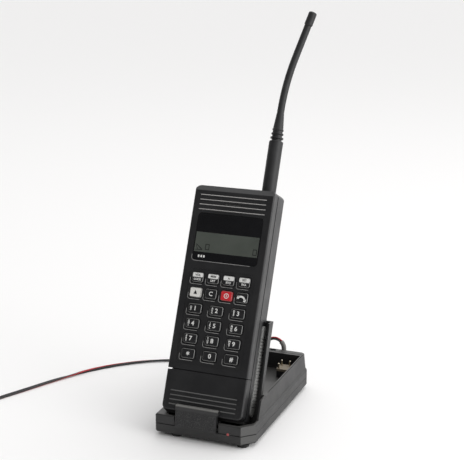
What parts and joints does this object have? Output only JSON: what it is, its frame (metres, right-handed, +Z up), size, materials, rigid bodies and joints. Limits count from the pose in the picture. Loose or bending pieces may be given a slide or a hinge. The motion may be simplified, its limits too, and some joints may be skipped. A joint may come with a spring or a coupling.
{
  "type": "handheld cellular telephone in desktop charger",
  "caption": "Black handheld cellular telephone with keypad and whip aerial, leaning in a desktop charger that has a spare-battery bay and a twin lead.",
  "frame": {"origin": "on the table, under the middle of the object's bounding box without its free lead", "axes": "+X to the keypad's right as a user faces it, +Y from the keypad side to the rear, +Z up"},
  "size_m": [0.2969, 0.2862, 0.3607],
  "materials": {
    "casing_plastic": "fine matt texture, moulded black",
    "cradle_plastic": "fine matt texture, moulded black",
    "key_plastic": "satin black",
    "label_key_plastic": "satin, printed half white and half black",
    "white_key_plastic": "satin white",
    "red_key_plastic": "satin red",
    "window_plastic": "polished smoked acrylic",
    "lcd_glass": "polarised grey-green glass",
    "mat_rubber": "silicone",
    "circuit_board": "solder mask",
    "shield_steel": "tinned sheet",
    "steel": "zinc plated",
    "contact_metal": "gold plated",
    "socket_brass": "turned",
    "cream_plastic": "moulded cream",
    "red_lens": "clear red lens",
    "foot_rubber": "black rubber",
    "aerial_rubber": "black rubber jacket",
    "sleeve_rubber": "grey flexible sleeve",
    "lead_rubber": "black and red twin insulation",
    "plug_plastic": "moulded black"
  },
  "bodies": {
    "cradle": {"lower_shell": "cradle_plastic", "upper_shell": "cradle_plastic", "catch_pin": "steel", "catch_spring": "steel", "charge_led": "red_lens", "rubber_feet": "foot_rubber", "base_screws": "steel", "charger_board": "circuit_board", "phone_contacts": "contact_metal", "battery_contact_block": "cream_plastic", "strain_relief": "sleeve_rubber", "power_lead": "lead_rubber", "lead_coil": "lead_rubber", "lead_plug": "plug_plastic"},
    "catch": {"front_catch": "cradle_plastic"},
    "pin_front": {"contact_pin_1": "contact_metal"},
    "pin_rear_left": {"contact_pin_2": "contact_metal"},
    "pin_rear_right": {"contact_pin_3": "contact_metal"},
    "phone": {"front_housing": "casing_plastic", "lower_front_cover": "casing_plastic", "rear_housing": "casing_plastic", "display_window": "window_plastic", "keymat": "mat_rubber", "main_board": "circuit_board", "lcd_module": "lcd_glass", "rf_shield": "shield_steel", "earpiece": "steel", "microphone": "steel", "battery_case": "casing_plastic", "battery_cells": "steel", "charge_pads": "contact_metal", "housing_screws": "steel", "antenna_socket": "socket_brass"},
    "aerial": {"aerial_stud": "socket_brass", "aerial_sleeve": "aerial_rubber", "aerial_whip": "aerial_rubber", "aerial_tip": "aerial_rubber"},
    "button_volume": {"key_volume": "label_key_plastic"},
    "button_lock": {"key_lock": "label_key_plastic"},
    "button_store": {"key_store": "label_key_plastic"},
    "button_recall": {"key_recall": "label_key_plastic"},
    "button_shift": {"key_shift": "white_key_plastic"},
    "button_clear": {"key_clear": "key_plastic"},
    "button_power": {"key_power": "red_key_plastic"},
    "button_call": {"key_call": "key_plastic"},
    "button_1": {"key_1": "key_plastic"},
    "button_2": {"key_2": "key_plastic"},
    "button_3": {"key_3": "key_plastic"},
    "button_4": {"key_4": "key_plastic"},
    "button_5": {"key_5": "key_plastic"},
    "button_6": {"key_6": "key_plastic"},
    "button_7": {"key_7": "key_plastic"},
    "button_8": {"key_8": "key_plastic"},
    "button_9": {"key_9": "key_plastic"},
    "button_star": {"key_star": "key_plastic"},
    "button_0": {"key_0": "key_plastic"},
    "button_hash": {"key_hash": "key_plastic"}
  },
  "joints": [
    {"name": "phone_lift", "type": "slide", "parent": "cradle", "child": "phone", "axis": [0, 0.4013, 0.9159], "range_m": [0, 0.115]},
    {"name": "catch_tilt", "type": "hinge", "parent": "cradle", "child": "catch", "pos_m": [-0.0044, -0.0836, 0.0146], "axis": [1, 0, 0], "range_deg": [0, 10], "stiffness_Nm_per_rad": 0.2, "springref_deg": -3.44},
    {"name": "pin_front_press", "type": "slide", "parent": "cradle", "child": "pin_front", "axis": [0, 0, -1], "range_m": [0, 0.0015], "stiffness_N_per_m": 150},
    {"name": "pin_rear_left_press", "type": "slide", "parent": "cradle", "child": "pin_rear_left", "axis": [0, 0, -1], "range_m": [0, 0.0015], "stiffness_N_per_m": 150},
    {"name": "pin_rear_right_press", "type": "slide", "parent": "cradle", "child": "pin_rear_right", "axis": [0, 0, -1], "range_m": [0, 0.0015], "stiffness_N_per_m": 150},
    {"name": "key_volume_press", "type": "slide", "parent": "phone", "child": "button_volume", "axis": [0, 0.9159, -0.4013], "range_m": [0, 0.0008], "stiffness_N_per_m": 200},
    {"name": "key_lock_press", "type": "slide", "parent": "phone", "child": "button_lock", "axis": [0, 0.9159, -0.4013], "range_m": [0, 0.0008], "stiffness_N_per_m": 200},
    {"name": "key_store_press", "type": "slide", "parent": "phone", "child": "button_store", "axis": [0, 0.9159, -0.4013], "range_m": [0, 0.0008], "stiffness_N_per_m": 200},
    {"name": "key_recall_press", "type": "slide", "parent": "phone", "child": "button_recall", "axis": [0, 0.9159, -0.4013], "range_m": [0, 0.0008], "stiffness_N_per_m": 200},
    {"name": "key_shift_press", "type": "slide", "parent": "phone", "child": "button_shift", "axis": [0, 0.9159, -0.4013], "range_m": [0, 0.0008], "stiffness_N_per_m": 200},
    {"name": "key_clear_press", "type": "slide", "parent": "phone", "child": "button_clear", "axis": [0, 0.9159, -0.4013], "range_m": [0, 0.0008], "stiffness_N_per_m": 200},
    {"name": "key_power_press", "type": "slide", "parent": "phone", "child": "button_power", "axis": [0, 0.9159, -0.4013], "range_m": [0, 0.0008], "stiffness_N_per_m": 200},
    {"name": "key_call_press", "type": "slide", "parent": "phone", "child": "button_call", "axis": [0, 0.9159, -0.4013], "range_m": [0, 0.0008], "stiffness_N_per_m": 200},
    {"name": "key_1_press", "type": "slide", "parent": "phone", "child": "button_1", "axis": [0, 0.9159, -0.4013], "range_m": [0, 0.0008], "stiffness_N_per_m": 200},
    {"name": "key_2_press", "type": "slide", "parent": "phone", "child": "button_2", "axis": [0, 0.9159, -0.4013], "range_m": [0, 0.0008], "stiffness_N_per_m": 200},
    {"name": "key_3_press", "type": "slide", "parent": "phone", "child": "button_3", "axis": [0, 0.9159, -0.4013], "range_m": [0, 0.0008], "stiffness_N_per_m": 200},
    {"name": "key_4_press", "type": "slide", "parent": "phone", "child": "button_4", "axis": [0, 0.9159, -0.4013], "range_m": [0, 0.0008], "stiffness_N_per_m": 200},
    {"name": "key_5_press", "type": "slide", "parent": "phone", "child": "button_5", "axis": [0, 0.9159, -0.4013], "range_m": [0, 0.0008], "stiffness_N_per_m": 200},
    {"name": "key_6_press", "type": "slide", "parent": "phone", "child": "button_6", "axis": [0, 0.9159, -0.4013], "range_m": [0, 0.0008], "stiffness_N_per_m": 200},
    {"name": "key_7_press", "type": "slide", "parent": "phone", "child": "button_7", "axis": [0, 0.9159, -0.4013], "range_m": [0, 0.0008], "stiffness_N_per_m": 200},
    {"name": "key_8_press", "type": "slide", "parent": "phone", "child": "button_8", "axis": [0, 0.9159, -0.4013], "range_m": [0, 0.0008], "stiffness_N_per_m": 200},
    {"name": "key_9_press", "type": "slide", "parent": "phone", "child": "button_9", "axis": [0, 0.9159, -0.4013], "range_m": [0, 0.0008], "stiffness_N_per_m": 200},
    {"name": "key_star_press", "type": "slide", "parent": "phone", "child": "button_star", "axis": [0, 0.9159, -0.4013], "range_m": [0, 0.0008], "stiffness_N_per_m": 200},
    {"name": "key_0_press", "type": "slide", "parent": "phone", "child": "button_0", "axis": [0, 0.9159, -0.4013], "range_m": [0, 0.0008], "stiffness_N_per_m": 200},
    {"name": "key_hash_press", "type": "slide", "parent": "phone", "child": "button_hash", "axis": [0, 0.9159, -0.4013], "range_m": [0, 0.0008], "stiffness_N_per_m": 200},
    {"name": "aerial_turn", "type": "hinge", "parent": "phone", "child": "aerial", "pos_m": [0.0251, 0.01416, 0.20435], "axis": [0, 0.4013, 0.9159], "range_deg": [0, 1620]}
  ]
}
